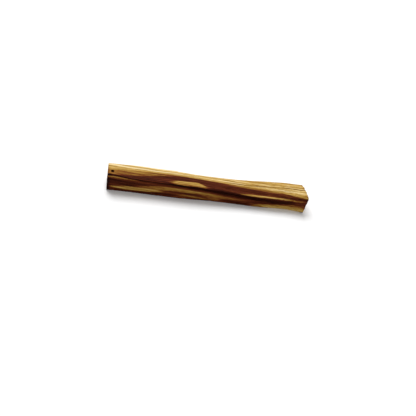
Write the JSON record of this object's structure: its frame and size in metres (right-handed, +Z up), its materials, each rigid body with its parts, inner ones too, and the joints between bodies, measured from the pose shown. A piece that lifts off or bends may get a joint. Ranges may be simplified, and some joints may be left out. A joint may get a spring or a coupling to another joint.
{
  "type": "palo santo stick",
  "caption": "Short split stick of aromatic wood with long uneven edges, a torn hollow under one edge, sawn ends and a beetle's bore, lying on its flat underside.",
  "frame": {"origin": "centre of the stick's footprint, on the surface that its flat underside lies on", "axes": "+X along the grain, towards the end that is sawn well off square; +Y towards the sapwood side, away from the torn hollow; +Z up"},
  "size_m": [0.1002, 0.0114, 0.0102],
  "materials": {
    "palo_santo_wood": "raw split wood: pale honey sapwood and streaked dark heartwood, dull with a slight resin sheen"
  },
  "bodies": {
    "root": {"stick": "palo_santo_wood"}
  },
  "joints": []
}
